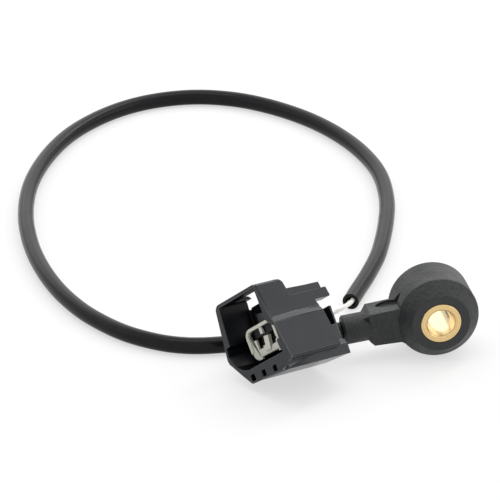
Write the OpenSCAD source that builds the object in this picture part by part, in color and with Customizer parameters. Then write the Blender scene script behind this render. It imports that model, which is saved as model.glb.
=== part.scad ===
// Engine knock sensor with a fixed cable and a two-way connector.
// Row frame: bolt bore along Y, base face at y = 0, front face towards -Y, Z up.

/* [Sensor body] */
// Outer diameter of the moulded body
body_d = 25.4; // [20:0.1:32]
// Length of the cylindrical part of the body
body_len = 12.8; // [9:0.1:16]
// Diameter of the flat front ring at the end of the cone
front_d = 17.8; // [15.5:0.1:20]
// Overall length of the moulding along the bore
housing_len = 17.2; // [15:0.1:22]

/* [Sleeve] */
// Bore for the bolt
bore_d = 8.5; // [6.4:0.1:10.5]
// Outer diameter of the brass sleeve
sleeve_d = 12.6; // [11:0.1:14]
// How far the sleeve stands out of the front ring
sleeve_proud = 0.2; // [0:0.05:0.5]
// Thickness of the base flange
flange_t = 2.0; // [1:0.1:3]
// Chamfer of the bore at the front end
bore_chamfer = 0.4; // [0.1:0.1:0.8]

/* [Sensing stack] */
// Thickness of the moulded wall around the stack
stack_wall = 2.5; // [1.5:0.1:3.5]
// Thickness of an insulating disc
insulator_t = 0.4; // [0.2:0.05:0.8]
// Thickness of a contact disc
contact_t = 0.3; // [0.2:0.05:0.6]
// Thickness of the piezo ring
piezo_t = 2.3; // [1:0.1:3.5]
// Thickness of the seismic mass
mass_t = 5.0; // [3:0.1:6]
// Height of the disc spring
spring_h = 0.9; // [0.5:0.1:1.5]
// Thickness of the clamp nut
nut_t = 2.3; // [1.5:0.1:3.5]

/* [Arm] */
// Turn of the arm below the horizontal, about the bore
arm_roll = 7.0; // [0:0.5:20]
// Distance of the arm centre from the base face
arm_y = 8.9; // [7:0.1:10]
// Depth of the arm block along the bore
block_depth = 8.4; // [7:0.1:10]
// Height of the arm block
block_h = 10.6; // [9.6:0.1:13]
// Length of the block outside the body
block_len = 10.2; // [8:0.1:14]
// Chamfer at the free corners of the block
block_chamfer = 2.4; // [1:0.1:3]
// Diameter of the cable collar
collar_d = 9.0; // [7.5:0.1:9.4]
// Length of the collar outside the block
collar_len = 6.1; // [4:0.1:10]
// Depth of the dimple in the top of the block
dimple_depth = 0.8; // [0.3:0.1:1.2]

/* [Cable] */
// Outer diameter of the cable jacket
cable_d = 5.2; // [4:0.1:6.5]
// Bore of the jacket at its cut end
jacket_bore = 3.1; // [3.1:0.1:3.6]
// Diameter of one insulated core
core_d = 1.4; // [1:0.1:1.45]

/* [Connector] */
// Length of the connector along its mating axis
plug_len = 24.6; // [20:0.1:30]
// Length of the front shroud
shroud_len = 11.2; // [7:0.1:13]
// Height of the connector
plug_h = 26.3; // [22:0.1:30]
// Width across the narrow upper side
plug_top_w = 20.2; // [17:0.1:24]
// Lean of the two long sides
plug_lean = 11; // [6:0.5:14]
// Thickness of the side walls
side_wall = 2.0; // [1.4:0.1:2.6]
// Thickness of the upper wall
top_wall = 1.2; // [0.8:0.1:1.8]
// Thickness of the lower wall
bottom_wall = 4.2; // [3.4:0.1:5]
// Side of the square holes in the lower wall
pocket_w = 1.9; // [1:0.1:2.6]
// Distance between the two terminals
pitch = 6.2; // [5:0.1:7]

/* [Hidden] */
$fn = 96;
eps = 0.01;

// Stack positions, measured from the base face towards the front
z_ins1 = flange_t;
z_con1 = z_ins1 + insulator_t;
z_piezo = z_con1 + contact_t;
z_con2 = z_piezo + piezo_t;
z_ins2 = z_con2 + contact_t;
z_mass = z_ins2 + insulator_t;
z_spring = z_mass + mass_t;
z_nut = z_spring + spring_h;
z_top = z_nut + nut_t;
stack_gap = 0.2;
stack_bore = sleeve_d + 0.3;
cavity_d = body_d - 2 * stack_wall;
stack_d = cavity_d - 2 * stack_gap;
nut_d = stack_d - 2.4;
nut_cavity_d = nut_d + 2 * stack_gap;
flange_d = cavity_d + 1.2;
sleeve_len = housing_len + sleeve_proud;

// Arm positions, measured from the bore axis
body_r = body_d / 2;
block_end = body_r + block_len;
collar_end = block_end + collar_len;
jacket_in = block_end - 3.9;
pocket_y0 = arm_y - 2.4;
pocket_y1 = arm_y + 2.4;
tab_x = cavity_d / 2 + 1.0;
tab_w = 1.6;
tab_z = 1.8;
crimp_d = 1.8;
crimp_x = jacket_in - 3.8;

// Pose of the connector: mating axis is its local Z, its upper side is local +Y
plug_turn = [82.94, -38.49, -56.26];
plug_at = [-57.06, -30.39, -6.29];
half_top = plug_top_w / 2;
core_x = 1.2;
core_y = 10.7;
core_w = 13.4;
core_h = 9.0;
core_front = -5.2;
retainer_front = -4.0;
floor_y = 14.3;
rail_y = 22.4;
rail_step_y = 20.2;
lower_rear = 19.6;
left_grow = 0.5;
seal_d = 4.4;
seal_len = 5.0;
box_w = 2.4;
box_h = 3.0;

function half_at(y) = half_top + (plug_h - y) * tan(plug_lean);

// Unit vectors of the connector in the row frame
ta = plug_turn[0];
tb = plug_turn[1];
tc = plug_turn[2];
plug_x = [cos(tb) * cos(tc), cos(tb) * sin(tc), -sin(tb)];
plug_y = [sin(ta) * sin(tb) * cos(tc) - cos(ta) * sin(tc),
    sin(ta) * sin(tb) * sin(tc) + cos(ta) * cos(tc),
    sin(ta) * cos(tb)];
plug_z = [cos(ta) * sin(tb) * cos(tc) + sin(ta) * sin(tc),
    cos(ta) * sin(tb) * sin(tc) - sin(ta) * cos(tc),
    cos(ta) * cos(tb)];
function plug_point(x, y, z) = plug_at + x * plug_x + y * plug_y + z * plug_z;
function arm_point(x) = [-x * cos(arm_roll), -arm_y, -x * sin(arm_roll)];

// Cable route on the table, from the arm round the loop to the cut end
table_z = -10.1;
jacket_end = [-19, 23.9, table_z];
jacket_before = [-15.5, 30.7, table_z];
jacket_route = [arm_point(jacket_in), arm_point(jacket_in + 5.6), arm_point(collar_end),
    arm_point(collar_end + 1.8), [-35.1, -7.9, -5.4], [-39.8, -4, -7.9], [-45, -0.4, -9.6],
    [-51.1, 1.3, table_z], [-60.1, 1.5, table_z], [-70.1, 2, table_z], [-77.7, 4.2, table_z],
    [-84.4, 8.4, table_z], [-91.1, 14.8, table_z], [-96.9, 23.3, table_z], [-102.3, 34.5, table_z],
    [-106.8, 49.9, table_z], [-109.4, 67.5, table_z], [-110.1, 86.3, table_z],
    [-108.4, 108.3, table_z], [-103.6, 130.6, table_z], [-95.7, 150.9, table_z],
    [-85.3, 168.8, table_z], [-73.1, 182, table_z], [-60.3, 190.6, table_z],
    [-47.3, 194.5, table_z], [-34.7, 194.1, table_z], [-22.4, 188.9, table_z],
    [-11.5, 179.5, table_z], [-2, 166.8, table_z], [5, 152, table_z], [9.5, 135.4, table_z],
    [11.1, 117.7, table_z], [9.1, 98.2, table_z], [4.7, 79.7, table_z], [-2.4, 57.9, table_z],
    [-9.3, 42.6, table_z], jacket_before, jacket_end];

function unit(v) = v / norm(v);
end_dir = unit(jacket_end - jacket_before);
pair_dir = unit(plug_x - (plug_x * end_dir) * end_dir);
function wire_route(s) = [jacket_end - 7.8 * end_dir + s * 0.71 * pair_dir,
    jacket_end - 4 * end_dir + s * 0.71 * pair_dir,
    jacket_end - 0.6 * end_dir + s * 0.71 * pair_dir,
    jacket_end + 1.2 * end_dir + s * 0.71 * pair_dir,
    [-23, 15.5, -7.8] + s * 0.9 * pair_dir,
    [-27.1, 7.2, -4.7] + s * 1.2 * pair_dir,
    [-31.2, -0.9, -1.6] + s * 1.9 * plug_x,
    plug_point(core_x + s * (pitch / 2 - 0.2), core_y + 0.8, -plug_len - 3.4),
    plug_point(core_x + s * pitch / 2, core_y, -plug_len - 1.0),
    plug_point(core_x + s * pitch / 2, core_y, -plug_len + 1.0),
    plug_point(core_x + s * pitch / 2, core_y, -plug_len + seal_len)];

// Arc in place of corner b between a and c, where b holds a radius as its third number
function corner_arc(a, b, c) =
    b[2] == 0 ? [[b[0], b[1]]] :
    let (p = [b[0], b[1]], u = unit([a[0], a[1]] - p), v = unit([c[0], c[1]] - p),
        half_angle = acos(u * v) / 2, m = p + unit(u + v) * b[2] / sin(half_angle),
        d = b[2] / tan(half_angle), q = p + u * d - m, w = p + v * d - m,
        start = atan2(q[1], q[0]), turn = (atan2(w[1], w[0]) - start + 540) % 360 - 180)
    [for (k = [0:5]) m + b[2] * [cos(start + turn * k / 5), sin(start + turn * k / 5)]];
function rounded(p) = [for (i = [0:len(p) - 1])
    each corner_arc(p[(i + len(p) - 1) % len(p)], p[i], p[(i + 1) % len(p)])];

// Smooth curve through a list of points
function curve_point(p, i, u) =
    let (a = p[max(i - 1, 0)], b = p[i], c = p[i + 1], d = p[min(i + 2, len(p) - 1)])
    0.5 * (2 * b + (c - a) * u + (2 * a - 5 * b + 4 * c - d) * u * u
        + (3 * b - a - 3 * c + d) * u * u * u);
function curve(p, n) = concat([for (i = [0:len(p) - 2], k = [0:n - 1]) curve_point(p, i, k / n)],
    [p[len(p) - 1]]);

module tube(path, d, sides) {
    last = len(path) - 1;
    rings = [for (i = [0:last])
        let (t = unit(path[min(i + 1, last)] - path[max(i - 1, 0)]),
            side = unit(cross(t, [0, 0, 1])),
            up = cross(side, t))
        for (k = [0:sides - 1])
            path[i] + d / 2 * (cos(360 * k / sides) * side + sin(360 * k / sides) * up)];
    walls = [for (i = [0:last - 1], k = [0:sides - 1])
        [i * sides + k, i * sides + (k + 1) % sides,
            (i + 1) * sides + (k + 1) % sides, (i + 1) * sides + k]];
    cap0 = [[for (k = [0:sides - 1]) sides - 1 - k]];
    cap1 = [[for (k = [0:sides - 1]) last * sides + k]];
    polyhedron(points = rings, faces = concat(cap0, walls, cap1));
}

// Local Z runs from the base face to the front
module along_bore() {
    rotate([90, 0, 0])
        children();
}

// Arm points along local -X, with its roll
module in_arm() {
    rotate([0, -arm_roll, 0])
        children();
}

module in_plug() {
    translate(plug_at)
        rotate(plug_turn)
            children();
}

module ring(z, t, d_out, d_in) {
    translate([0, 0, z])
        difference() {
            cylinder(d = d_out, h = t);
            translate([0, 0, -1])
                cylinder(d = d_in, h = t + 2);
        }
}

module arm_block() {
    h = block_h / 2;
    c = block_chamfer;
    y0 = arm_y - block_depth / 2;
    y1 = arm_y + block_depth / 2;
    intersection() {
        rotate([90, 0, 0])
            linear_extrude(height = 40)
                polygon([[-body_r + 5.7, h + 0.3], [-block_end + c, h], [-block_end, h - c + 0.5],
                    [-block_end, -h + c + 0.8], [-block_end + c + 0.3, -h], [-body_r + 0.7, -h - 0.5],
                    [-body_r + 4.1, -h - 2.2], [-body_r + 5.7, -h - 2.2]]);
        translate([0, 0, -20])
            linear_extrude(height = 40)
                polygon([[-body_r + 5.7, -y0], [-block_end + c, -y0], [-block_end, -y0 - c],
                    [-block_end, -y1 + c - 0.4], [-block_end + c - 0.4, -y1], [-body_r + 5.7, -y1]]);
    }
}

module collar() {
    translate([-collar_end, -arm_y, 0])
        rotate([0, 90, 0]) {
            translate([0, 0, 0.5])
                cylinder(d = collar_d, h = collar_end - block_end + 1.5);
            cylinder(d1 = collar_d - 1.0, d2 = collar_d, h = 0.5);
        }
}

module arm_hollow() {
    translate([-collar_end - 1, -arm_y, 0])
        rotate([0, 90, 0])
            cylinder(d = cable_d, h = collar_end - jacket_in + 1);
    translate([-jacket_in, -pocket_y1, -4])
        cube([jacket_in - tab_x + 0.4, pocket_y1 - pocket_y0, 8]);
    translate([-tab_x - 0.4, -pocket_y1, -3.4])
        cube([3.4, pocket_y1 - z_ins1 - 0.2, 6.8]);
}

module dimple() {
    translate([-body_r - 1.2, -arm_y + 1.2, block_h / 2 - dimple_depth])
        linear_extrude(height = 4)
            intersection() {
                translate([0, -3.4])
                    circle(r = 5.4);
                translate([0, 3.4])
                    circle(r = 5.4);
            }
}

module sensor_housing() {
    color("#2b2c2d")
        difference() {
            union() {
                along_bore() {
                    cylinder(d = body_d, h = body_len);
                    translate([0, 0, body_len])
                        cylinder(d1 = body_d, d2 = front_d, h = housing_len - body_len);
                }
                in_arm() {
                    arm_block();
                    collar();
                }
            }
            along_bore() {
                translate([0, 0, -1])
                    cylinder(d = flange_d, h = flange_t + 1);
                translate([0, 0, flange_t - eps])
                    cylinder(d = cavity_d, h = z_nut - flange_t + eps);
                translate([0, 0, z_nut - eps])
                    cylinder(d = nut_cavity_d, h = z_top - z_nut + eps);
                translate([0, 0, z_top - 1])
                    cylinder(d = sleeve_d, h = housing_len);
            }
            in_arm() {
                arm_hollow();
                dimple();
            }
        }
}

module brass_sleeve() {
    c = bore_chamfer;
    color("#c9a24a")
        along_bore()
            rotate_extrude()
                polygon([[bore_d / 2, 0], [flange_d / 2, 0], [flange_d / 2, flange_t],
                    [sleeve_d / 2, flange_t], [sleeve_d / 2, sleeve_len - 0.3],
                    [sleeve_d / 2 - 0.3, sleeve_len], [bore_d / 2 + c, sleeve_len],
                    [bore_d / 2, sleeve_len - c]]);
}

module lower_insulator() {
    color("#d8c79a")
        along_bore()
            ring(z_ins1, insulator_t, stack_d, stack_bore);
}

module upper_insulator() {
    color("#d8c79a")
        along_bore()
            ring(z_ins2, insulator_t, stack_d, stack_bore);
}

// Contact disc with a strip that turns up into the arm
module contact_disc(z, side, colour) {
    color(colour) {
        along_bore()
            ring(z, contact_t, stack_d - 0.4, stack_bore);
        in_arm()
            translate([0, 0, side * tab_z - tab_w / 2]) {
                translate([-tab_x, -z - contact_t, 0])
                    cube([tab_x - stack_d / 2 + 1.2, contact_t, tab_w]);
                translate([-tab_x, -arm_y - contact_t / 2, 0])
                    cube([contact_t, arm_y + contact_t / 2 - z, tab_w]);
                translate([-crimp_x, -arm_y - contact_t / 2, 0])
                    cube([crimp_x - tab_x + contact_t, contact_t, tab_w]);
            }
    }
}

module lower_contact() {
    contact_disc(z_con1, 1, "#c08a4a");
}

module upper_contact() {
    contact_disc(z_con2, -1, "#c08a4a");
}

module piezo_ring() {
    color("#e2ddd0")
        along_bore()
            ring(z_piezo, piezo_t, stack_d - 0.6, stack_bore);
}

module seismic_mass() {
    color("#9a9da0")
        along_bore()
            ring(z_mass, mass_t, stack_d, stack_bore);
}

module spring_washer() {
    t = 0.5;
    color("#70757a")
        along_bore()
            rotate_extrude()
                polygon([[stack_bore / 2, z_spring + spring_h - t], [nut_d / 2, z_spring],
                    [nut_d / 2, z_spring + t], [stack_bore / 2, z_spring + spring_h]]);
}

module clamp_nut() {
    color("#8d9094")
        along_bore()
            difference() {
                ring(z_nut, nut_t, nut_d, sleeve_d);
                for (a = [0:90:270])
                    rotate([0, 0, a])
                        translate([nut_d / 2 - 0.9, -0.8, z_nut + nut_t - 0.9])
                            cube([2, 1.6, 2]);
            }
}

// Crimp between a cable core and a contact strip
module sensor_crimp(side) {
    color("#b9bcc0")
        in_arm()
            translate([-jacket_in, -arm_y, side * tab_z])
                rotate([0, 90, 0])
                    cylinder(d = crimp_d, h = jacket_in - crimp_x);
}

module sensor_crimp_a() {
    sensor_crimp(1);
}

module sensor_crimp_b() {
    sensor_crimp(-1);
}

module cable_jacket() {
    color("#1c1c1d")
        difference() {
            tube(curve(jacket_route, 2), cable_d, 12);
            tube([jacket_end - 8 * end_dir, jacket_end + 2 * end_dir], jacket_bore, 12);
        }
}

module wire_a() {
    color("#e9e7e0")
        tube(curve(wire_route(1), 3), core_d, 10);
}

module wire_b() {
    color("#e9e7e0")
        tube(curve(wire_route(-1), 3), core_d, 10);
}

// Outline of the connector up to a height, with the lower left corner cut
module plug_outline(y_top, r_left, r_right) {
    polygon(rounded([[-half_at(y_top) - left_grow, y_top, r_left],
        [-half_at(9.3) - left_grow, 9.3, 2.0], [-6.9, 0.5, 0.6], [0, -0.5, 0.4], [12.4, -1.4, 0.3],
        [12.5, 1.0, 0], [half_at(1.0), 1.0, 0], [half_at(y_top), y_top, r_right]]));
}

// Outline of the thin rim at the mouth, with its lower corners
module rim_outline(y_top, r_left, r_right) {
    polygon(rounded([[-half_at(y_top) - left_grow, y_top, r_left],
        [-half_at(9.3) - left_grow, 9.3, 2.0], [-6.4, 0, 0.6], [10.1, -1.0, 0], [half_at(1.4) + 0.5, 1.4, 0],
        [half_at(y_top), y_top, r_right]]));
}

module shroud() {
    r = 2.0;
    difference() {
        union() {
            translate([0, 0, -shroud_len])
                linear_extrude(height = shroud_len - 0.4)
                    plug_outline(plug_h, 2.4, 1.0);
            translate([0, 0, -0.9])
                linear_extrude(height = 0.9)
                    rim_outline(plug_h, 2.4, 1.0);
        }
        translate([-20, plug_h - r, -shroud_len + r])
            rotate([0, 90, 0])
                difference() {
                    translate([0, 0, 0])
                        cube([r + 1, r + 1, 40]);
                    cylinder(r = r, h = 40);
                }
    }
}

// Raised panel on one long side, from y_low up to y_high
module side_bulge(s, y_low, y_high) {
    grow = 0.8;
    polygon([[s * half_at(y_high), y_high], [s * (half_at(y_high - 1.6) + grow), y_high - 1.6],
        [s * (half_at(y_low) + grow), y_low], [s * half_at(y_low - 0.8), y_low - 0.8],
        [s * (half_at(y_low) - 1), y_low - 0.8], [s * (half_at(y_high) - 1), y_high]]);
}

module rear_body() {
    translate([0, 0, -lower_rear])
        linear_extrude(height = lower_rear - shroud_len + eps)
            plug_outline(floor_y, 0, 0);
    translate([0, 0, -lower_rear])
        linear_extrude(height = lower_rear)
            side_bulge(1, 1.8, 15.0);
    translate([0, 0, -lower_rear])
        linear_extrude(height = lower_rear - 1.6)
            side_bulge(-1, 10.4, 15.0);
    translate([0, 0, -plug_len])
        linear_extrude(height = plug_len - shroud_len)
            polygon([[-11.2, floor_y], [-11.2, 6.5], [-6.9, 0.5], [0, -0.5], [12.4, -1.4],
                [12.6, 1.8], [11.2, 3.6], [11.2, floor_y]]);
}

module guide_rails() {
    w = 3.0;
    for (s = [-1, 1]) {
        translate([0, 0, -plug_len - 0.8])
            linear_extrude(height = plug_len + 0.8 - shroud_len + eps)
                polygon([[s * half_at(17.1), 17.1], [s * half_at(rail_step_y), rail_step_y],
                    [s * (half_top - w), rail_step_y], [s * (half_top - w), 17.1]]);
        translate([0, 0, -24.0])
            linear_extrude(height = 24.0 - shroud_len + eps)
                polygon([[s * (half_at(rail_step_y) - 0.4), rail_step_y - eps],
                    [s * (half_at(rail_y) - 0.4), rail_y],
                    [s * (half_top - w), rail_y], [s * (half_top - w), rail_step_y - eps]]);
        translate([0, 0, -19.4])
            linear_extrude(height = 19.4 - shroud_len + eps)
                polygon([[s * half_at(floor_y - 1), floor_y - 1], [s * half_at(17.2), 17.2],
                    [s * (half_top - w), 17.2], [s * (half_top - w), floor_y - 1]]);
    }
    translate([-half_top + w - 1, rail_y - 1.8, -shroud_len - 3])
        cube([2 * (half_top - w + 1), 2.2, 3 + eps]);
}

module cavity() {
    i = side_wall;
    translate([0, 0, -shroud_len])
        linear_extrude(height = shroud_len + 1)
            polygon([[-half_top + 1.4, plug_h - top_wall], [-half_at(13.2) + i + 0.35, 13.2],
                [-half_at(13.2) + 0.55, 13.2], [-half_at(10.6) + 0.65, 10.6], [-11.6, 8.6],
                [-10.4, 6.6], [-8.1, 5], [-5.8, bottom_wall + 0.1], [half_at(4.2) - i, bottom_wall],
                [half_at(5.4) - i - 0.5, 5.4], [half_at(8.1) - i - 0.2, 8.1],
                [half_at(8.5) - 0.7, 8.5], [half_at(12.3) - 0.1, 12.3], [half_at(12.7) - 0.9, 12.7],
                [half_at(13.8) - i + 0.1, 13.8], [half_top - 0.4, 15],
                [half_top - 0.4, plug_h - top_wall]]);
    translate([0, 0, -16])
        linear_extrude(height = 16 - shroud_len + eps)
            polygon([[-half_at(floor_y) + i, floor_y - 1.3], [half_at(floor_y) - i, floor_y - 1.3],
                [half_at(5.6) - i - 0.4, 5.6], [half_at(bottom_wall) - i - 1.4, bottom_wall],
                [-5.4, bottom_wall + 0.2], [-9.2, 7]]);
}

module latch_window() {
    translate([-5.9, plug_h - top_wall - 0.4, -shroud_len - 1])
        cube([13.1, 4, shroud_len - 3.4]);
}

module terminal_core() {
    translate([core_x - core_w / 2, core_y - core_h / 2, -17])
        cube([core_w, core_h, 17 + core_front]);
}

module wire_way(side) {
    translate([core_x + side * pitch / 2, core_y, -plug_len - 1])
        cylinder(d = seal_d, h = seal_len + 1.4);
    translate([core_x + side * pitch / 2 - box_w / 2, core_y - box_h / 2, -plug_len + seal_len])
        cube([box_w, box_h, plug_len]);
}

module bottom_pockets() {
    for (x = [-4.9, 0.6, 6.2])
        translate([x - pocket_w / 2, 1.3 - 0.06 * x - pocket_w / 2, -4])
            cube([pocket_w, pocket_w, 5]);
}

module side_windows() {
    for (s = [-1, 1])
        translate([s * 9.5 - 2.5, 8.6, -24.0])
            cube([5, 8, 24.0 - lower_rear]);
}

module connector_housing() {
    color("#242527")
        in_plug()
            difference() {
                union() {
                    difference() {
                        union() {
                            shroud();
                            rear_body();
                            guide_rails();
                        }
                        cavity();
                        latch_window();
                    }
                    terminal_core();
                }
                wire_way(1);
                wire_way(-1);
                bottom_pockets();
                side_windows();
            }
}

// Ivory piece that caps the terminal core, with a rim and posts round its two windows
module terminal_retainer() {
    base_front = retainer_front - 0.4;
    color("#d9d7cc")
        in_plug() {
            translate([0, 0, core_front])
                linear_extrude(height = base_front - core_front)
                    difference() {
                        retainer_outline();
                        polygon([[-4.4, 14.95], [-5.2, 14.1], [-5.2, 12], [-2.95, 12],
                            [-2.95, 8.9], [-0.65, 8.9], [-0.65, 9.5], [0.75, 9.4], [0.75, 8.1],
                            [3.3, 7.9], [3.5, 8.45], [5.7, 8.6], [5.9, 9.3], [7, 9.9],
                            [7, 14.9], [1.4, 14.95], [1.4, 12.8], [0.1, 12.8], [0.1, 14.95]]);
                    }
            translate([0, 0, base_front - eps])
                linear_extrude(height = retainer_front + 0.1 - base_front)
                    intersection() {
                        retainer_outline();
                        polygon([[-9, 17], [9, 17], [9, 9], [7, 9.9], [7, 14.9], [-4.4, 14.95],
                            [-5.35, 14], [-5.35, 9], [-9, 7.5]]);
                    }
            translate([0, 0, base_front - 0.8])
                linear_extrude(height = retainer_front + 0.1 - base_front + 0.8)
                    polygon([[1.64, 11.85], [3.8, 11.6], [2.9, 7.3], [0.65, 7.5]]);
        }
}

module retainer_outline() {
    polygon(rounded([[-6.6, 15.9, 2.6], [-6.5, 6, 2.6], [-2.5, 5.9, 0.3], [-2.9, 6.6, 0],
        [5.6, 6.4, 0], [5.7, 5.7, 0], [7.6, 5.75, 0], [7.6, 6.2, 0], [6.4, 6.5, 0],
        [6.5, 8.5, 0], [6.9, 9, 0], [8.2, 9.3, 0], [8.2, 15.9, 1]]));
}

// Box contact with its crimp barrel
module plug_terminal(side) {
    x = core_x + side * pitch / 2;
    rear = -plug_len + seal_len;
    front = core_front - 1.4;
    color("#c4a45a")
        in_plug() {
            translate([x, core_y, 0])
                difference() {
                    translate([-1, -1.3, -15])
                        cube([2, 2.6, 15 + front]);
                    translate([-0.7, -1.0, -14.4])
                        cube([1.4, 2.0, 20]);
                }
            translate([x, core_y, rear])
                cylinder(d = 1.8, h = -15 - rear + eps);
        }
}

module plug_terminal_a() {
    plug_terminal(1);
}

module plug_terminal_b() {
    plug_terminal(-1);
}

// Ribbed single-wire seal
module wire_seal(side) {
    r = seal_d / 2;
    color("#3f6f9a")
        in_plug()
            translate([core_x + side * pitch / 2, core_y, -plug_len + 0.4])
                rotate_extrude()
                    polygon([[core_d / 2, 0], [r - 0.5, 0], [r - 0.5, 0.5], [r, 0.9], [r - 0.5, 1.3],
                        [r - 0.5, 1.9], [r, 2.3], [r - 0.5, 2.7], [r - 0.5, 3.3], [r, 3.7],
                        [r - 0.5, 4.1], [r - 0.5, seal_len - 0.4], [core_d / 2, seal_len - 0.4]]);
}

module wire_seal_a() {
    wire_seal(1);
}

module wire_seal_b() {
    wire_seal(-1);
}

sensor_housing();
brass_sleeve();
lower_insulator();
lower_contact();
piezo_ring();
upper_contact();
upper_insulator();
seismic_mass();
spring_washer();
clamp_nut();
sensor_crimp_a();
sensor_crimp_b();
cable_jacket();
wire_a();
wire_b();
connector_housing();
terminal_retainer();
plug_terminal_a();
plug_terminal_b();
wire_seal_a();
wire_seal_b();
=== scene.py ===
"""Studio scene of an engine knock sensor.

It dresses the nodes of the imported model, lays the cable and sets the light and the camera. All
lengths are metres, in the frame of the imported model: the bolt bore runs along Y and the front
face looks towards -Y.
"""

import logging
import math
from dataclasses import dataclass, field
from enum import Enum

import bmesh
import bpy
from mathutils import Matrix, Vector

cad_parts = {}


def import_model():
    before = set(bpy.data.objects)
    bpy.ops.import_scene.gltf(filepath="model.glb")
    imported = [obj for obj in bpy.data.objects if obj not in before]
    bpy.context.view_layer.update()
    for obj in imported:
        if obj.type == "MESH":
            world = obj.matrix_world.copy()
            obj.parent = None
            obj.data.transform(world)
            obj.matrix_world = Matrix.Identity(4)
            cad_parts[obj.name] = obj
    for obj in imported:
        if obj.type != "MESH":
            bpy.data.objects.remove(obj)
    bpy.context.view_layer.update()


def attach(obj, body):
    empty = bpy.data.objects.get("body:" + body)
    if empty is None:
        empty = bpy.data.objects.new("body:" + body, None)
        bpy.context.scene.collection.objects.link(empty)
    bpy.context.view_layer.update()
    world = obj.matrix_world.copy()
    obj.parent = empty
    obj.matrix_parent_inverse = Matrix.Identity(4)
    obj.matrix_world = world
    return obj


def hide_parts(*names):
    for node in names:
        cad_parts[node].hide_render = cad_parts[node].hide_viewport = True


LOG = logging.getLogger("knock_sensor")
BODY = "root"
WHITE = (1.0, 1.0, 1.0, 1.0)

# Side of the picture in pixels, and width of the camera's sensor in millimetres.
IMAGE_SIDE = 500
SENSOR_MM = 36.0

# Vertices closer than this are one.
MERGE = 1e-5

# Edges over this angle in degrees are broken, and stay sharp in the shading.
SHARP_ANGLE = 20.0

# The same limit for the round cords.
CORD_ANGLE = 40.0

# Free length that a broken edge needs beside it, in widths of the break.
ROOM_SHARE = 2.2

# Cosine below which an edge beside another runs on in line with it.
IN_LINE = -0.85

# Spacing of the wave texture's rings at a scale of 1.
RING_STEP = 0.314

# Size of the patches that handling leaves, and width of the sharp edges that get a painted
# highlight.
PATCH = 0.006
HIGHLIGHT_EDGE_WIDTH = 0.0003


class Surface(Enum):
    """How a surface was made, and so the small relief that it carries."""

    GRAINED = "grained"
    SMOOTH = "smooth"
    TURNED = "turned"
    REAMED = "reamed"
    SPECKLED = "speckled"


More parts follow.
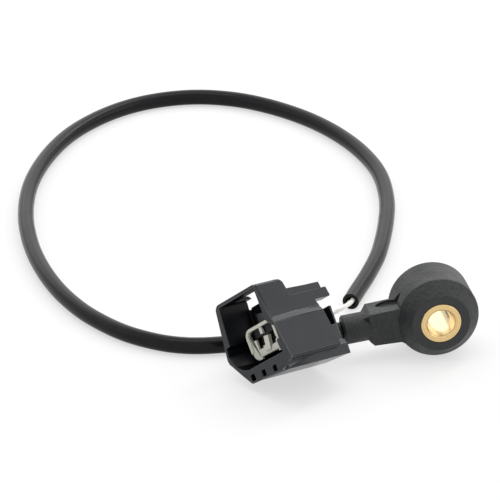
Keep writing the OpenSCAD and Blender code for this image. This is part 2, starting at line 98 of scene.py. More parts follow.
@dataclass(frozen=True)
class Finish:
    """One finish: its colour, gloss and small relief.

    Args:
        name: name of the Blender material.
        colour: base colour, linear RGB.
        roughness: mean roughness.
        surface: kind of relief on the surface.
        grain: size of the relief in metres.
        relief: depth of the relief in metres.
        tone: share by which the colour varies to either side.
        wear: span by which the roughness varies.
        metallic: 1 for bare metal.
        specular: specular level of the shader.
        edge_highlight: how much paler the sharp edges are painted, a painted highlight for the
            light that they catch.
    """

    name: str
    colour: tuple[float, float, float]
    roughness: float
    surface: Surface
    grain: float
    relief: float
    tone: float = 0.1
    wear: float = 0.08
    metallic: float = 0.0
    specular: float = 0.5
    edge_highlight: float = 0.0

    def material(self) -> bpy.types.Material:
        """Makes the material, or gives back the one made before."""
        made = bpy.data.materials.get(self.name)
        if made:
            return made
        made = bpy.data.materials.new(self.name)
        made.use_nodes = True
        made.diffuse_color = (*self.colour, 1.0)
        tree = made.node_tree
        shader = tree.nodes["Principled BSDF"]
        shader.inputs["Metallic"].default_value = self.metallic
        shader.inputs["Specular IOR Level"].default_value = self.specular
        makers = {
            Surface.GRAINED: self._grained,
            Surface.SMOOTH: self._smooth,
            Surface.TURNED: self._turned,
            Surface.REAMED: self._reamed,
            Surface.SPECKLED: self._speckled,
        }
        height = makers[self.surface](tree)
        self._tone(tree, shader, height)
        self._gloss(tree, shader)
        self._relief(tree, shader, height)
        return made

    def _coordinates(
        self, tree: bpy.types.NodeTree, scale: tuple[float, float, float] = (1.0, 1.0, 1.0)
    ) -> bpy.types.NodeSocket:
        """Gives Object coordinates multiplied by a scale.

        Args:
            tree: node tree to add to.
            scale: factor along each axis.

        Returns:
            The socket with the scaled coordinates.
        """
        source = tree.nodes.new("ShaderNodeTexCoord")
        mapping = tree.nodes.new("ShaderNodeMapping")
        mapping.inputs["Scale"].default_value = scale
        tree.links.new(source.outputs["Object"], mapping.inputs["Vector"])
        return mapping.outputs["Vector"]

    def _noise(
        self,
        tree: bpy.types.NodeTree,
        size: float,
        detail: float,
        scale: tuple[float, float, float] = (1.0, 1.0, 1.0),
    ) -> bpy.types.NodeSocket:
        """Adds a noise.

        Args:
            tree: node tree to add to.
            size: size of its cells in metres.
            detail: octaves of the noise.
            scale: stretch along each axis.

        Returns:
            The socket with its value from 0 to 1.
        """
        noise = tree.nodes.new("ShaderNodeTexNoise")
        noise.inputs["Scale"].default_value = 1.0 / size
        noise.inputs["Detail"].default_value = detail
        tree.links.new(self._coordinates(tree, scale), noise.inputs["Vector"])
        return noise.outputs["Fac"]

    @staticmethod
    def _blend(
        tree: bpy.types.NodeTree,
        first: bpy.types.NodeSocket,
        second: bpy.types.NodeSocket,
        share: float,
    ) -> bpy.types.NodeSocket:
        """Blends two values.

        Args:
            tree: node tree to add to.
            first: the first value.
            second: the second value.
            share: share of the second.

        Returns:
            The socket with the blend.
        """
        mix = tree.nodes.new("ShaderNodeMix")
        mix.inputs["Factor"].default_value = share
        tree.links.new(first, mix.inputs["A"])
        tree.links.new(second, mix.inputs["B"])
        return mix.outputs["Result"]

    def _grained(self, tree: bpy.types.NodeTree) -> bpy.types.NodeSocket:
        """Gives the spark-eroded grain of a matt moulding.

        Args:
            tree: node tree to add to.

        Returns:
            The socket with heights from 0 to 1.
        """
        fine = self._noise(tree, self.grain, 3.0)
        coarse = self._noise(tree, self.grain * 3.5, 1.0, (0.45, 1.0, 1.0))
        return self._blend(tree, fine, coarse, 0.3)

    def _smooth(self, tree: bpy.types.NodeTree) -> bpy.types.NodeSocket:
        """Gives the faint flow marks of a smooth moulding.

        Args:
            tree: node tree to add to.

        Returns:
            The socket with heights from 0 to 1.
        """
        return self._noise(tree, self.grain, 2.0)

    def _turned(self, tree: bpy.types.NodeTree) -> bpy.types.NodeSocket:
        """Gives the concentric tool marks of a piece turned about the Y axis.

        Args:
            tree: node tree to add to.

        Returns:
            The socket with heights from 0 to 1.
        """
        rings = tree.nodes.new("ShaderNodeTexWave")
        rings.wave_type = "RINGS"
        rings.rings_direction = "Y"
        rings.inputs["Scale"].default_value = RING_STEP / self.grain
        rings.inputs["Distortion"].default_value = 1.2
        rings.inputs["Detail"].default_value = 2.0
        rings.inputs["Detail Scale"].default_value = 2.0
        tree.links.new(self._coordinates(tree, (1.0, 0.0, 1.0)), rings.inputs["Vector"])
        chatter = self._noise(tree, self.grain * 0.7, 3.0)
        return self._blend(tree, rings.outputs["Fac"], chatter, 0.6)

    def _reamed(self, tree: bpy.types.NodeTree) -> bpy.types.NodeSocket:
        """Gives the scratches that a reamer leaves along a bore on the Y axis.

        Args:
            tree: node tree to add to.

        Returns:
            The socket with heights from 0 to 1.
        """
        return self._noise(tree, self.grain, 3.0, (1.0, 0.16, 1.0))

    def _speckled(self, tree: bpy.types.NodeTree) -> bpy.types.NodeSocket:
        """Gives the even speckle of a fired, rolled or cast surface.

        Args:
            tree: node tree to add to.

        Returns:
            The socket with heights from 0 to 1.
        """
        return self._noise(tree, self.grain, 5.0)

    def _tone(
        self, tree: bpy.types.NodeTree, shader: bpy.types.Node, height: bpy.types.NodeSocket
    ) -> None:
        """Varies the base colour with the relief, and paints the sharp edges paler as a painted
        highlight.

        Args:
            tree: node tree to add to.
            shader: the Principled shader.
            height: socket with heights from 0 to 1.
        """
        ramp = tree.nodes.new("ShaderNodeValToRGB")
        low, high = ramp.color_ramp.elements
        low.position = 0.3
        high.position = 0.7
        low.color = (*(c * (1.0 - self.tone) for c in self.colour), 1.0)
        high.color = (*(min(c * (1.0 + self.tone), 1.0) for c in self.colour), 1.0)
        tree.links.new(height, ramp.inputs["Fac"])
        if not self.edge_highlight:
            tree.links.new(ramp.outputs["Color"], shader.inputs["Base Color"])
            return
        # Painted highlight: the sharp edges take a paler base colour for the light that they
        # catch.
        highlight_mix = tree.nodes.new("ShaderNodeMix")
        highlight_mix.data_type = "RGBA"
        open_face, edge = (s for s in highlight_mix.inputs if s.type == "RGBA")
        mixed = next(s for s in highlight_mix.outputs if s.type == "RGBA")
        edge.default_value = (*(min(c + self.edge_highlight, 1.0) for c in self.colour), 1.0)
        tree.links.new(self._edges(tree), highlight_mix.inputs[0])
        tree.links.new(ramp.outputs["Color"], open_face)
        tree.links.new(mixed, shader.inputs["Base Color"])

    @staticmethod
    def _edges(tree: bpy.types.NodeTree) -> bpy.types.NodeSocket:
        """Finds the sharp edges that take the painted highlight.

        Args:
            tree: node tree to add to.

        Returns:
            The socket with 1 along sharp edges and 0 on open faces.
        """
        turned = tree.nodes.new("ShaderNodeBevel")
        turned.samples = 6
        turned.inputs["Radius"].default_value = HIGHLIGHT_EDGE_WIDTH
        plain = tree.nodes.new("ShaderNodeNewGeometry")
        agree = tree.nodes.new("ShaderNodeVectorMath")
        agree.operation = "DOT_PRODUCT"
        tree.links.new(turned.outputs["Normal"], agree.inputs[0])
        tree.links.new(plain.outputs["True Normal"], agree.inputs[1])
        span = tree.nodes.new("ShaderNodeMapRange")
        span.inputs["From Min"].default_value = 0.97
        span.inputs["From Max"].default_value = 0.85
        tree.links.new(agree.outputs["Value"], span.inputs["Value"])
        return span.outputs["Result"]

    def _gloss(self, tree: bpy.types.NodeTree, shader: bpy.types.Node) -> None:
        """Varies the roughness in broad patches, as handling leaves it.

        Args:
            tree: node tree to add to.
            shader: the Principled shader.
        """
        patches = self._noise(tree, PATCH, 2.0)
        span = tree.nodes.new("ShaderNodeMapRange")
        span.inputs["From Min"].default_value = 0.3
        span.inputs["From Max"].default_value = 0.7
        span.inputs["To Min"].default_value = self.roughness - self.wear / 2
        span.inputs["To Max"].default_value = self.roughness + self.wear / 2
        tree.links.new(patches, span.inputs["Value"])
        tree.links.new(span.outputs["Result"], shader.inputs["Roughness"])

    def _relief(
        self, tree: bpy.types.NodeTree, shader: bpy.types.Node, height: bpy.types.NodeSocket
    ) -> None:
        """Feeds a height into the shader's normal.

        Args:
            tree: node tree to add to.
            shader: the Principled shader.
            height: socket with heights from 0 to 1.
        """
        bump = tree.nodes.new("ShaderNodeBump")
        bump.inputs["Distance"].default_value = self.relief
        tree.links.new(height, bump.inputs["Height"])
        tree.links.new(bump.outputs["Normal"], shader.inputs["Normal"])


@dataclass(frozen=True)
class Finishes:
    """Every finish of the object."""

    moulding: Finish = Finish(
        "sensor_moulding_grained", (0.018, 0.019, 0.02), 0.5, Surface.GRAINED, 0.0008, 0.0004,
        tone=0.5, wear=0.16, specular=0.4,
    )
    moulding_face: Finish = Finish(
        "sensor_moulding_face", (0.011, 0.012, 0.014), 0.42, Surface.SMOOTH, 0.0012, 0.00001,
    )
    brass: Finish = Finish(
        "sleeve_brass_turned", (0.74, 0.54, 0.26), 0.34, Surface.TURNED, 0.0007, 0.00001,
        tone=0.12, metallic=1.0,
    )
    bore: Finish = Finish(
        "sleeve_brass_reamed", (0.82, 0.66, 0.4), 0.2, Surface.REAMED, 0.002, 0.00004,
        tone=0.06, metallic=1.0,
    )
    contact: Finish = Finish(
        "contact_tinned", (0.46, 0.4, 0.28), 0.36, Surface.SPECKLED, 0.0004, 0.000006,
        metallic=1.0,
    )
    film: Finish = Finish(
        "insulator_film", (0.62, 0.46, 0.22), 0.5, Surface.SPECKLED, 0.0008, 0.000006,
    )
    piezo: Finish = Finish(
        "piezo_ceramic", (0.7, 0.65, 0.52), 0.62, Surface.SPECKLED, 0.0003, 0.00002, tone=0.12,
    )
    steel: Finish = Finish(
        "machined_steel", (0.54, 0.55, 0.57), 0.34, Surface.TURNED, 0.0005, 0.000008, metallic=1.0,
    )
    jacket: Finish = Finish(
        "cable_jacket_rubber", (0.0085, 0.0088, 0.01), 0.22, Surface.SMOOTH, 0.003, 0.000006,
        tone=0.15, specular=0.14,
    )
    core: Finish = Finish(
        "core_insulation", (0.9, 0.89, 0.86), 0.4, Surface.SMOOTH, 0.001, 0.000008, tone=0.03,
    )
    # The connector's plastic carries a painted highlight along its sharp edges.
    plug: Finish = Finish(
        "connector_plastic", (0.009, 0.0106, 0.0148), 0.24, Surface.SMOOTH, 0.0022, 0.000016,
        tone=0.12, specular=0.37, edge_highlight=0.14,
    )
    # Painted shade: a darker colour than the connector's plastic, for the shade inside the mouth;
    # its lower specular is a duller moulded surface.
    plug_mouth_painted_shade: Finish = Finish(
        "connector_mouth_painted_shade", (0.004, 0.0045, 0.006), 0.36, Surface.SMOOTH, 0.0022, 0.00002,
        tone=0.12, specular=0.18,
    )
    ivory: Finish = Finish(
        "insert_ivory", (0.58, 0.58, 0.5), 0.42, Surface.SMOOTH, 0.0012, 0.00001, tone=0.05,
    )
    seal: Finish = Finish(
        "wire_seal_rubber", (0.05, 0.12, 0.24), 0.48, Surface.SMOOTH, 0.0006, 0.00001,
    )


FINISHES = Finishes()


def add_piece(mesh: bmesh.types.BMesh, name: str) -> bpy.types.Object:
    """Turns a bmesh into an object of the scene.

    Args:
        mesh: the bmesh, which is freed.
        name: name of the object.

    Returns:
        The object.
    """
    data = bpy.data.meshes.new(name)
    mesh.to_mesh(data)
    mesh.free()
    piece = bpy.data.objects.new(name, data)
    bpy.context.collection.objects.link(piece)
    return piece


def dress(node: str, finish: Finish) -> None:
    """Gives a CAD node its finish.

    Args:
        node: name of the node.
        finish: the finish it takes.
    """
    piece = bpy.data.objects[node]
    material = finish.material()
    if piece.material_slots:
        for held in piece.material_slots:
            held.material = material
    else:
        piece.data.materials.append(material)
    LOG.info("%s is dressed in %s", node, finish.name)


def smooth_piece(piece: bpy.types.Object, angle: float) -> None:
    """Shades a new piece smooth, apart from edges sharper than an angle.

    Args:
        piece: the mesh object.
        angle: the limit in degrees.
    """
    limit = math.radians(angle)
    mesh = bmesh.new()
    mesh.from_mesh(piece.data)
    for face in mesh.faces:
        face.smooth = True
    for edge in mesh.edges:
        edge.smooth = len(edge.link_faces) != 2 or edge.calc_face_angle(0.0) < limit
    mesh.to_mesh(piece.data)
    mesh.free()


def has_room(edge: bmesh.types.BMEdge, room: float) -> bool:
    """Tells whether an edge can be broken without running into a short edge beside it.

    Args:
        edge: the sharp edge.
        room: length that the edges beside it need.

    Returns:
        True where the edges beside it are long enough.
    """
    for vert in edge.verts:
        ahead = (edge.other_vert(vert).co - vert.co).normalized()
        for other in vert.link_edges:
            if other is edge or not set(other.link_faces) & set(edge.link_faces):
                continue
            aside = other.other_vert(vert).co - vert.co
            if aside.length < room and aside.normalized().dot(ahead) > IN_LINE:
                return False
    return True


def rounded_copy(
    node: str, name: str, width: float, finish: Finish, flat: float = 1.0
) -> bpy.types.Object:
    """Copies a CAD node with its sharp edges broken, as a mould leaves them.

    Args:
        node: CAD node to copy.
        name: name of the new piece.
        width: width of the broken edge.
        finish: finish of the new piece.
        flat: faces that meet within this angle, in degrees, become one.

    Returns:
        The new piece, which replaces the node.
    """
    mesh = bmesh.new()
    mesh.from_mesh(bpy.data.objects[node].data)
    bmesh.ops.remove_doubles(mesh, verts=mesh.verts, dist=MERGE)
    bmesh.ops.dissolve_degenerate(mesh, edges=mesh.edges, dist=MERGE)
    bmesh.ops.dissolve_limit(
        mesh, angle_limit=math.radians(flat), verts=mesh.verts, edges=mesh.edges
    )
    bmesh.ops.recalc_face_normals(mesh, faces=mesh.faces)
    weight = mesh.edges.layers.float.new("bevel_weight_edge")
    limit = math.radians(SHARP_ANGLE)
    for edge in mesh.edges:
        sharp = len(edge.link_faces) == 2 and edge.calc_face_angle(0.0) > limit
        edge[weight] = 1.0 if sharp and has_room(edge, ROOM_SHARE * width) else 0.0
    piece = add_piece(mesh, name)
    bevel = piece.modifiers.new("broken_edges", "BEVEL")
    bevel.width = width
    bevel.segments = 2
    bevel.limit_method = "WEIGHT"
    bevel.use_clamp_overlap = False
    bevel.harden_normals = True
    smooth_piece(piece, SHARP_ANGLE)
    piece.data.materials.append(finish.material())
    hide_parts(node)
    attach(piece, BODY)
    LOG.info("%s replaces %s", name, node)
    return piece


@dataclass
class SensorHead:
    """The ring-shaped sensor: moulding, brass sleeve and the stack inside."""

    moulding_edge: float = 0.00025
    sleeve_edge: float = 0.00012
    face_depth: float = 0.0171
    stack: dict[str, Finish] = field(
        default_factory=lambda: {
            "lower_insulator": FINISHES.film,
            "upper_insulator": FINISHES.film,
            "lower_contact": FINISHES.contact,
            "upper_contact": FINISHES.contact,
            "piezo_ring": FINISHES.piezo,
            "seismic_mass": FINISHES.steel,
            "spring_washer": FINISHES.steel,
            "clamp_nut": FINISHES.steel,
            "sensor_crimp_a": FINISHES.contact,
            "sensor_crimp_b": FINISHES.contact,
        }
    )

    def build(self) -> None:
        """Dresses the sensor's nodes."""
        moulding = rounded_copy(
            "sensor_housing",
            "sensor_moulding",
            self.moulding_edge,
            FINISHES.moulding,
        )
        moulding.data.materials.append(FINISHES.moulding_face.material())
        for face in moulding.data.polygons:
            if face.normal.y < -0.99 and face.center.y < -self.face_depth:
                face.material_index = 1
        sleeve = rounded_copy(
            "brass_sleeve", "bolt_sleeve", self.sleeve_edge, FINISHES.brass
        )
        sleeve.data.materials.append(FINISHES.bore.material())
        for face in sleeve.data.polygons:
            inward = face.normal.x * face.center.x + face.normal.z * face.center.z < 0
            if inward and abs(face.normal.y) < 0.3:
                face.material_index = 1
        for node, finish in self.stack.items():
            dress(node, finish)


@dataclass
class Cable:
    """The jacketed cable on the table and the two cores at its cut end."""

    diameter: float = 0.0052
    core_diameter: float = 0.0014
    bore: float = 0.0031
    bore_depth: float = 0.008
    table: float = -0.0101
    arm_roll: float = 7.0
    arm_y: float = 0.0089
    inside: float = 0.019
    collar_end: float = 0.029
    plug_turn: tuple[float, float, float] = (82.94, -38.49, -56.26)
    plug_at: tuple[float, float, float] = (-0.05706, -0.03039, -0.00629)
    plug_length: float = 0.0246
    core_height: float = 0.0107
    core_across: float = 0.0012
    pitch: float = 0.0062
    seal_length: float = 0.005
    pair_gap: float = 0.00071
    jacket_steps: int = 6
    jacket_sides: int = 32
    core_steps: int = 8
    core_sides: int = 20

    def arm_point(self, reach: float) -> tuple[float, float, float]:
        """Gives a point on the arm's centre line.

        Args:
            reach: distance from the bore axis.

        Returns:
            The point.
        """
        roll = math.radians(self.arm_roll)
        return (-reach * math.cos(roll), -self.arm_y, -reach * math.sin(roll))

    def jacket_points(self) -> list[tuple[float, float, float]]:
        """Gives the points of the cable's route, from inside the arm to the cut end."""
        z = self.table
        return [
            self.arm_point(self.inside), self.arm_point(self.inside + 0.0056),
            self.arm_point(self.collar_end), self.arm_point(self.collar_end + 0.0018),
            (-0.0351, -0.0079, -0.0054), (-0.0398, -0.004, -0.0079), (-0.045, -0.0004, -0.0096),
            (-0.0511, 0.0013, z), (-0.0601, 0.0015, z), (-0.0701, 0.002, z), (-0.0777, 0.0042, z),
            (-0.0844, 0.0084, z), (-0.0911, 0.0148, z), (-0.0969, 0.0233, z), (-0.1023, 0.0345, z),
            (-0.1068, 0.0499, z), (-0.1094, 0.0675, z), (-0.1101, 0.0863, z), (-0.1084, 0.1083, z),
            (-0.1036, 0.1306, z), (-0.0957, 0.1509, z), (-0.0853, 0.1688, z), (-0.0731, 0.182, z),
            (-0.0603, 0.1906, z), (-0.0473, 0.1945, z), (-0.0347, 0.1941, z), (-0.0224, 0.1889, z),
            (-0.0115, 0.1795, z), (-0.002, 0.1668, z), (0.005, 0.152, z), (0.0095, 0.1354, z),
            (0.0111, 0.1177, z), (0.0091, 0.0982, z), (0.0047, 0.0797, z), (-0.0024, 0.0579, z),
            (-0.0093, 0.0426, z), (-0.0155, 0.0307, z), (-0.019, 0.0239, z),
        ]

    def plug_axes(self) -> Matrix:
        """Gives the connector's turn as a matrix."""
        x, y, z = (math.radians(a) for a in self.plug_turn)
        return Matrix.Rotation(z, 3, "Z") @ Matrix.Rotation(y, 3, "Y") @ Matrix.Rotation(x, 3, "X")

    def core_points(self, side: int) -> list[Vector]:
        """Gives the route of one core, from inside the jacket into the connector.

        Args:
            side: 1 or -1, the side of the pair.

        Returns:
            The points of the route.
        """
        route = self.jacket_points()
        end = Vector(route[-1])
        ahead = (end - Vector(route[-2])).normalized()
        axes = self.plug_axes()
        across = axes @ Vector((1, 0, 0))
        pair = (across - across.dot(ahead) * ahead).normalized()

        def in_plug(x: float, y: float, z: float) -> Vector:
            """Gives a point of the connector's own frame."""
            return Vector(self.plug_at) + axes @ Vector((x, y, z))

        seat = self.core_across + side * self.pitch / 2
        return [
            end - 0.0078 * ahead + side * self.pair_gap * pair,
            end - 0.004 * ahead + side * self.pair_gap * pair,
            end - 0.0006 * ahead + side * self.pair_gap * pair,
            end + 0.0012 * ahead + side * self.pair_gap * pair,
            Vector((-0.023, 0.0155, -0.0078)) + side * 0.0009 * pair,
            Vector((-0.0271, 0.0072, -0.0047)) + side * 0.0012 * pair,
            Vector((-0.0312, -0.0009, -0.0016)) + side * 0.0019 * across,
            in_plug(seat - side * 0.0002, self.core_height + 0.0008, -self.plug_length - 0.0034),
            in_plug(seat, self.core_height, -self.plug_length - 0.001),
            in_plug(seat, self.core_height, -self.plug_length + 0.001),
            in_plug(seat, self.core_height, -self.plug_length + self.seal_length),
        ]

    @staticmethod
    def smooth_path(points: list[Vector], steps: int) -> list[Vector]:
        """Runs a smooth curve through points.

        Args:
            points: the points of the route.
            steps: stretches between two points.

        Returns:
            The points of the curve.
        """
        path = []
        for i in range(len(points) - 1):
            before = points[max(i - 1, 0)]
            start, stop = points[i], points[i + 1]
            after = points[min(i + 2, len(points) - 1)]
            for k in range(steps):
                u = k / steps
                path.append(
                    0.5 * (2 * start + (stop - before) * u
                           + (2 * before - 5 * start + 4 * stop - after) * u * u
                           + (3 * start - before - 3 * stop + after) * u * u * u)
                )
        path.append(points[-1])
        return path

    @staticmethod
    def sweep(name: str, path: list[Vector], diameter: float, sides: int) -> bpy.types.Object:
        """Sweeps a round section along a path with bmesh operators.

        Args:
            name: name of the piece.
            path: points of the centre line.
            diameter: diameter of the section.
            sides: faces around the section.

        Returns:
            The new piece, open at neither end.
        """
        mesh = bmesh.new()

        def place(i: int) -> Matrix:
            """Gives the section's frame at point i of the path."""
            ahead = (path[min(i + 1, len(path) - 1)] - path[max(i - 1, 0)]).normalized()
            side = ahead.cross(Vector((0, 0, 1))).normalized()
            up = side.cross(ahead)
            turn = Matrix((side, up, ahead)).transposed().to_4x4()
            return Matrix.Translation(path[i]) @ turn

        bmesh.ops.create_circle(
            mesh, cap_ends=True, segments=sides, radius=diameter / 2, matrix=place(0)
        )
        face = next(iter(mesh.faces))
        for i in range(1, len(path)):
            grown = bmesh.ops.extrude_face_region(mesh, geom=[face])["geom"]
            step = place(i) @ place(i - 1).inverted()
            face = next(g for g in grown if isinstance(g, bmesh.types.BMFace))
            bmesh.ops.transform(mesh, matrix=step, verts=face.verts)
        bmesh.ops.recalc_face_normals(mesh, faces=mesh.faces)
        return add_piece(mesh, name)

    def _drill(self, piece: bpy.types.Object, end: Vector, ahead: Vector) -> None:
        """Opens the jacket at its cut end.

        Args:
            piece: the jacket.
            end: centre of the cut face.
            ahead: direction out of the cut face.
        """
        mesh = bmesh.new()
        mesh.from_mesh(piece.data)
        cut = min(mesh.faces, key=lambda f: (f.calc_center_median() - end).length)
        inset = self.diameter / 2 - self.bore / 2
        bmesh.ops.inset_region(mesh, faces=[cut], thickness=inset, use_even_offset=True)
        grown = bmesh.ops.extrude_face_region(mesh, geom=[cut])["geom"]
        floor = next(g for g in grown if isinstance(g, bmesh.types.BMFace))
        bmesh.ops.translate(mesh, vec=-self.bore_depth * ahead, verts=floor.verts)
        if cut.is_valid:
            bmesh.ops.delete(mesh, geom=[cut], context="FACES_ONLY")
        mesh.to_mesh(piece.data)
        mesh.free()

    def build(self) -> None:
        route = [Vector(p) for p in self.jacket_points()]
        path = self.smooth_path(route, self.jacket_steps)
        jacket = self.sweep("jacket_tube", path, self.diameter, self.jacket_sides)
        self._drill(jacket, path[-1], (route[-1] - route[-2]).normalized())
        jacket.data.materials.append(FINISHES.jacket.material())
        smooth_piece(jacket, CORD_ANGLE)
        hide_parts("cable_jacket")
        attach(jacket, BODY)
        for side, mark in ((1, "a"), (-1, "b")):
            points = self.smooth_path(self.core_points(side), self.core_steps)
            core = self.sweep(f"core_{mark}", points, self.core_diameter, self.core_sides)
            core.data.materials.append(FINISHES.core.material())
            smooth_piece(core, CORD_ANGLE)
            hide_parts(f"wire_{mark}")
            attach(core, BODY)


@dataclass
class Connector:
    """The two-way connector: housing, ivory insert, contacts and seals."""

    edge: float = 0.00028
    insert_edge: float = 0.00012
    mouth_middle: tuple[float, float] = (0.0005, 0.0105)
    mouth_depth: float = 0.0162
    rim_depth: float = 0.002
    wall_reach: float = 0.001

    def _in_mouth(self, centre: Vector, normal: Vector) -> bool:
        """Tells whether a face lies inside the mouth, in the connector's own frame.

        Args:
            centre: middle of the face.
            normal: direction the face looks in.

        Returns:
            True for the walls and the floor of the mouth.
        """
        if not -self.mouth_depth < centre.z < 0.0:
            return False
        across = normal.x * (centre.x - self.mouth_middle[0])
        upward = normal.y * (centre.y - self.mouth_middle[1])
        inward = across + upward < -self.wall_reach
        floor = normal.z > 0.9 and centre.z < -self.rim_depth
        return floor or (inward and abs(normal.z) < 0.5)

    def build(self) -> None:
        """Dresses the connector's nodes."""
        shell = rounded_copy(
            "connector_housing", "connector_shell", self.edge, FINISHES.plug, 2.5
        )
        # The walls and floor inside the mouth take the darker finish, painted shade for the
        # cavity.
        shell.data.materials.append(FINISHES.plug_mouth_painted_shade.material())
        pose = Cable()
        to_plug = pose.plug_axes().transposed()
        origin = Vector(pose.plug_at)
        for face in shell.data.polygons:
            if self._in_mouth(to_plug @ (face.center - origin), to_plug @ face.normal):
                face.material_index = 1
        rounded_copy(
            "terminal_retainer", "ivory_insert", self.insert_edge, FINISHES.ivory
        )
        for mark in ("a", "b"):
            dress(f"plug_terminal_{mark}", FINISHES.contact)
            dress(f"wire_seal_{mark}", FINISHES.seal)


@dataclass(frozen=True)
class Lamp:
    """One soft lamp that looks at the object.

    Args:
        name: name of the lamp.
        place: where it hangs.
        sides: width and height of the lamp.
        power: power in watts.
    """

    name: str
    place: tuple[float, float, float]
    sides: tuple[float, float]
    power: float

    def hang(self, target: tuple[float, float, float]) -> None:
        """Hangs the lamp and turns it.

        Args:
            target: the point that it looks at.
        """
        data = bpy.data.lights.new(self.name, "AREA")
        data.shape = "RECTANGLE"
        data.size, data.size_y = self.sides
        data.energy = self.power
        lamp = bpy.data.objects.new(self.name, data)
        bpy.context.collection.objects.link(lamp)
        lamp.location = self.place
        aim = Vector(target) - Vector(self.place)
        lamp.rotation_mode = "QUATERNION"
        lamp.rotation_quaternion = aim.to_track_quat("-Z", "Y")


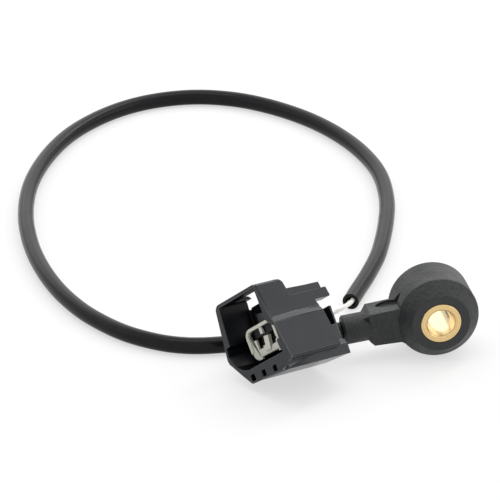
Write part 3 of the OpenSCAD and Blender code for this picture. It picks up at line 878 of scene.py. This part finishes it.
@dataclass
class Studio:
    """White table, soft light and the camera of the photograph."""

    azimuth: float = -11.0
    elevation: float = 24.75
    distance: float = 1.32
    metres_per_pixel: float = 0.000305
    anchor_pixel: tuple[float, float] = (428.42, 299.59)
    table: float = -0.0127
    table_reach: float = 3.0
    table_glow: float = 0.6
    soft_light: float = 0.7
    target: tuple[float, float, float] = (-0.04, 0.06, 0.0)
    lamps: tuple[Lamp, ...] = (
        Lamp("back_lamp", (0.1, 1.9, 1.4), (3.6, 2.0), 19.0),
        Lamp("top_lamp", (-0.05, 0.25, 1.7), (1.4, 0.6), 6.0),
        Lamp("left_lamp", (-1.6, 0.3, 1.2), (1.6, 1.4), 2.4),
        Lamp("right_lamp", (1.6, -0.2, 1.0), (1.2, 1.2), 4.0),
        Lamp("strip_lamp", (0.8, 0.76, 1.07), (0.35, 1.0), 4.5),
    )

    def camera(self) -> bpy.types.Object:
        """Makes the camera, with the bore's base centre at its place in the picture.

        Returns:
            The camera.
        """
        data = bpy.data.cameras.new("camera")
        data.sensor_width = SENSOR_MM
        focal_pixels = self.distance / self.metres_per_pixel
        data.lens = focal_pixels * SENSOR_MM / IMAGE_SIDE
        data.clip_start = 0.01
        data.clip_end = 20.0
        camera = bpy.data.objects.new("camera", data)
        bpy.context.collection.objects.link(camera)
        a, e = math.radians(self.azimuth), math.radians(self.elevation)
        back = Vector((math.sin(a) * math.cos(e), -math.cos(a) * math.cos(e), math.sin(e)))
        right = Vector((math.cos(a), math.sin(a), 0.0))
        up = back.cross(right)
        across = (self.anchor_pixel[0] - IMAGE_SIDE / 2) / focal_pixels
        above = (IMAGE_SIDE / 2 - self.anchor_pixel[1]) / focal_pixels
        camera.location = self.distance * (back - across * right - above * up)
        camera.rotation_mode = "QUATERNION"
        camera.rotation_quaternion = Matrix((right, up, back)).transposed().to_quaternion()
        bpy.context.scene.camera = camera
        return camera

    @staticmethod
    def _seen(tree: bpy.types.NodeTree) -> bpy.types.NodeSocket:
        """Tells the rays that see the surroundings from those that light the object.

        Args:
            tree: node tree to add to.

        Returns:
            The socket with 1 for rays from the camera, a mirror or glass, and 0 for the others.
        """
        paths = tree.nodes.new("ShaderNodeLightPath")
        direct = tree.nodes.new("ShaderNodeMath")
        direct.operation = "MAXIMUM"
        either = tree.nodes.new("ShaderNodeMath")
        either.operation = "MAXIMUM"
        tree.links.new(paths.outputs["Is Camera Ray"], direct.inputs[0])
        tree.links.new(paths.outputs["Is Glossy Ray"], direct.inputs[1])
        tree.links.new(direct.outputs[0], either.inputs[0])
        tree.links.new(paths.outputs["Is Transmission Ray"], either.inputs[1])
        return either.outputs[0]

    def _table_white(self) -> bpy.types.Material:
        """Makes the table's white, which shows a softened shadow.

        Returns:
            The material.
        """
        made = bpy.data.materials.new("table_white")
        made.use_nodes = True
        tree = made.node_tree
        shader = tree.nodes["Principled BSDF"]
        shader.inputs["Base Color"].default_value = (0.9, 0.9, 0.9, 1.0)
        shader.inputs["Roughness"].default_value = 0.9
        shader.inputs["Specular IOR Level"].default_value = 0.1
        glow = tree.nodes.new("ShaderNodeEmission")
        glow.inputs["Color"].default_value = WHITE
        glow.inputs["Strength"].default_value = 1.0
        share = tree.nodes.new("ShaderNodeMath")
        share.operation = "MULTIPLY"
        share.inputs[1].default_value = self.table_glow
        mix = tree.nodes.new("ShaderNodeMixShader")
        tree.links.new(self._seen(tree), share.inputs[0])
        tree.links.new(share.outputs[0], mix.inputs["Fac"])
        tree.links.new(shader.outputs[0], mix.inputs[1])
        tree.links.new(glow.outputs[0], mix.inputs[2])
        tree.links.new(mix.outputs[0], tree.nodes["Material Output"].inputs["Surface"])
        return made

    def floor(self) -> None:
        """Makes the table."""
        mesh = bmesh.new()
        level = Matrix.Translation((0, 0, self.table))
        bmesh.ops.create_grid(
            mesh, x_segments=1, y_segments=1, size=self.table_reach, matrix=level
        )
        top = add_piece(mesh, "table_top")
        top.data.materials.append(self._table_white())

    def light(self) -> None:
        """Sets the lamps and the white surroundings."""
        for lamp in self.lamps:
            lamp.hang(self.target)
        world = bpy.data.worlds.new("studio")
        bpy.context.scene.world = world
        world.use_nodes = True
        tree = world.node_tree
        tree.nodes.clear()
        soft = tree.nodes.new("ShaderNodeBackground")
        soft.inputs["Color"].default_value = WHITE
        soft.inputs["Strength"].default_value = self.soft_light
        white = tree.nodes.new("ShaderNodeBackground")
        white.inputs["Color"].default_value = WHITE
        white.inputs["Strength"].default_value = 1.0
        mix = tree.nodes.new("ShaderNodeMixShader")
        out = tree.nodes.new("ShaderNodeOutputWorld")
        tree.links.new(self._seen(tree), mix.inputs["Fac"])
        tree.links.new(soft.outputs[0], mix.inputs[1])
        tree.links.new(white.outputs[0], mix.inputs[2])
        tree.links.new(mix.outputs[0], out.inputs["Surface"])
        bpy.context.scene.view_settings.view_transform = "Standard"

    def build(self) -> None:
        """Makes the table and the light."""
        self.floor()
        self.light()
        LOG.info("studio is set")


def main() -> None:
    """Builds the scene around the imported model."""
    logging.basicConfig(level=logging.INFO, format="%(name)s: %(message)s")
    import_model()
    studio = Studio()
    studio.camera()
    SensorHead().build()
    Connector().build()
    Cable().build()
    studio.build()


if __name__ == "__main__":
    main()
